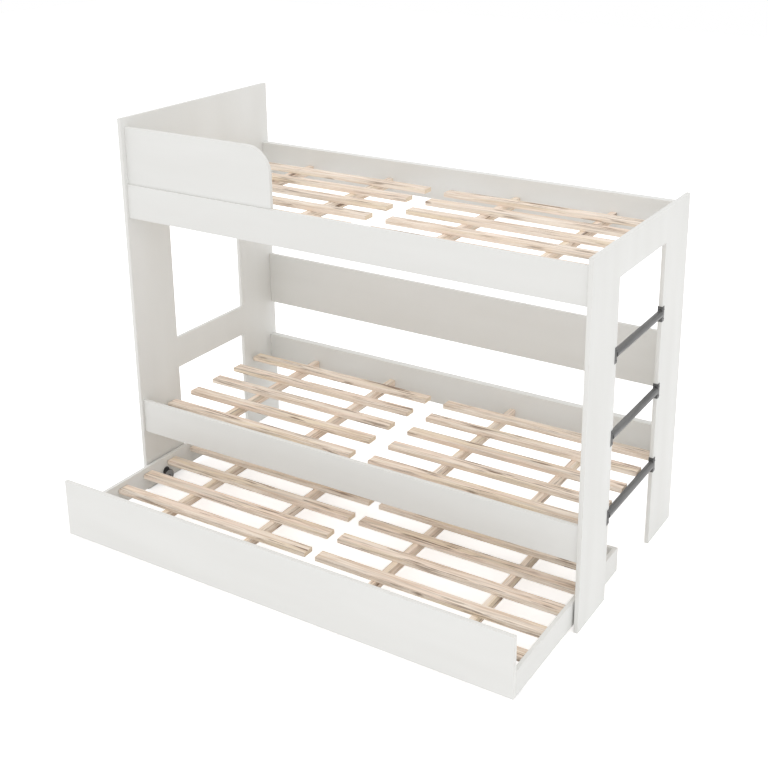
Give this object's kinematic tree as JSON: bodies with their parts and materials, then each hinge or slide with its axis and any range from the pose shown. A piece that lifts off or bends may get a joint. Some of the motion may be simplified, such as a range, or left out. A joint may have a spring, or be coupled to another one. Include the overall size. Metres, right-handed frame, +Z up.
{
  "type": "triple bunk bed",
  "caption": "Bunk bed with an upper and a lower slatted bed in a white board frame, a side ladder of metal rungs, and a low slatted trundle bed that rolls out on wheels.",
  "frame": {"origin": "on the floor, under the middle of the whole part's bounding box with the trundle drawn out as it stands at rest", "axes": "+X runs along the beds from the high head panel to the low foot panel with the rungs, -Y is the front, where the trundle rolls out, and +Z is up"},
  "size_m": [1.9556, 1.324, 1.563],
  "materials": {
    "painted_board": "satin white foil or paint on flat board",
    "pale_wood": "sawn pale wood, not lacquered",
    "dark_metal": "dark grey satin paint",
    "wheel_plastic": "matt dark grey"
  },
  "bodies": {
    "bunk_frame": {"head_end_panel": "painted_board", "foot_end_panel": "painted_board", "back_guard_panel": "painted_board", "front_guard_board": "painted_board", "upper_front_rail": "painted_board", "upper_back_rail": "painted_board", "lower_front_rail": "painted_board", "lower_back_rail": "painted_board", "rung_1": "dark_metal", "rung_clip_front_1": "dark_metal", "rung_clip_back_1": "dark_metal", "rung_2": "dark_metal", "rung_clip_front_2": "dark_metal", "rung_clip_back_2": "dark_metal", "rung_3": "dark_metal", "rung_clip_front_3": "dark_metal", "rung_clip_back_3": "dark_metal", "upper_head_slat_1": "pale_wood", "upper_head_slat_2": "pale_wood", "upper_head_slat_3": "pale_wood", "upper_head_slat_4": "pale_wood", "upper_head_slat_5": "pale_wood", "upper_head_batten_1": "pale_wood", "upper_head_batten_2": "pale_wood", "upper_foot_slat_1": "pale_wood", "upper_foot_slat_2": "pale_wood", "upper_foot_slat_3": "pale_wood", "upper_foot_slat_4": "pale_wood", "upper_foot_slat_5": "pale_wood", "upper_foot_batten_1": "pale_wood", "upper_foot_batten_2": "pale_wood", "lower_head_slat_1": "pale_wood", "lower_head_slat_2": "pale_wood", "lower_head_slat_3": "pale_wood", "lower_head_slat_4": "pale_wood", "lower_head_slat_5": "pale_wood", "lower_head_batten_1": "pale_wood", "lower_head_batten_2": "pale_wood", "lower_foot_slat_1": "pale_wood", "lower_foot_slat_2": "pale_wood", "lower_foot_slat_3": "pale_wood", "lower_foot_slat_4": "pale_wood", "lower_foot_slat_5": "pale_wood", "lower_foot_batten_1": "pale_wood", "lower_foot_batten_2": "pale_wood"},
    "trundle": {"trundle_front_panel": "painted_board", "trundle_back_panel": "painted_board", "trundle_head_side": "painted_board", "trundle_foot_side": "painted_board", "trundle_head_slat_base": "pale_wood", "trundle_foot_slat_base": "pale_wood", "axle_plate_head_front": "dark_metal", "axle_plate_head_back": "dark_metal", "axle_plate_foot_front": "dark_metal", "axle_plate_foot_back": "dark_metal"},
    "wheel_head_front": {"wheel_head_front": "wheel_plastic"},
    "wheel_head_back": {"wheel_head_back": "wheel_plastic"},
    "wheel_foot_front": {"wheel_foot_front": "wheel_plastic"},
    "wheel_foot_back": {"wheel_foot_back": "wheel_plastic"}
  },
  "joints": [
    {"name": "trundle_roll_out", "type": "slide", "parent": "bunk_frame", "child": "trundle", "axis": [0, -1, 0], "range_m": [-0.4465, 0.4]},
    {"name": "wheel_turn_head_front", "type": "hinge", "parent": "trundle", "child": "wheel_head_front", "pos_m": [-0.93325, -0.595, 0.03], "axis": [1, 0, 0], "continuous": true},
    {"name": "wheel_turn_head_back", "type": "hinge", "parent": "trundle", "child": "wheel_head_back", "pos_m": [-0.93325, -0.1365, 0.03], "axis": [1, 0, 0], "continuous": true},
    {"name": "wheel_turn_foot_front", "type": "hinge", "parent": "trundle", "child": "wheel_foot_front", "pos_m": [0.92475, -0.595, 0.03], "axis": [1, 0, 0], "continuous": true},
    {"name": "wheel_turn_foot_back", "type": "hinge", "parent": "trundle", "child": "wheel_foot_back", "pos_m": [0.92475, -0.1365, 0.03], "axis": [1, 0, 0], "continuous": true}
  ],
  "couplings": [
    {"joint": "wheel_turn_head_front", "follows": "trundle_roll_out", "rad_per_m": 33.333},
    {"joint": "wheel_turn_head_back", "follows": "trundle_roll_out", "rad_per_m": 33.333},
    {"joint": "wheel_turn_foot_front", "follows": "trundle_roll_out", "rad_per_m": 33.333},
    {"joint": "wheel_turn_foot_back", "follows": "trundle_roll_out", "rad_per_m": 33.333}
  ]
}
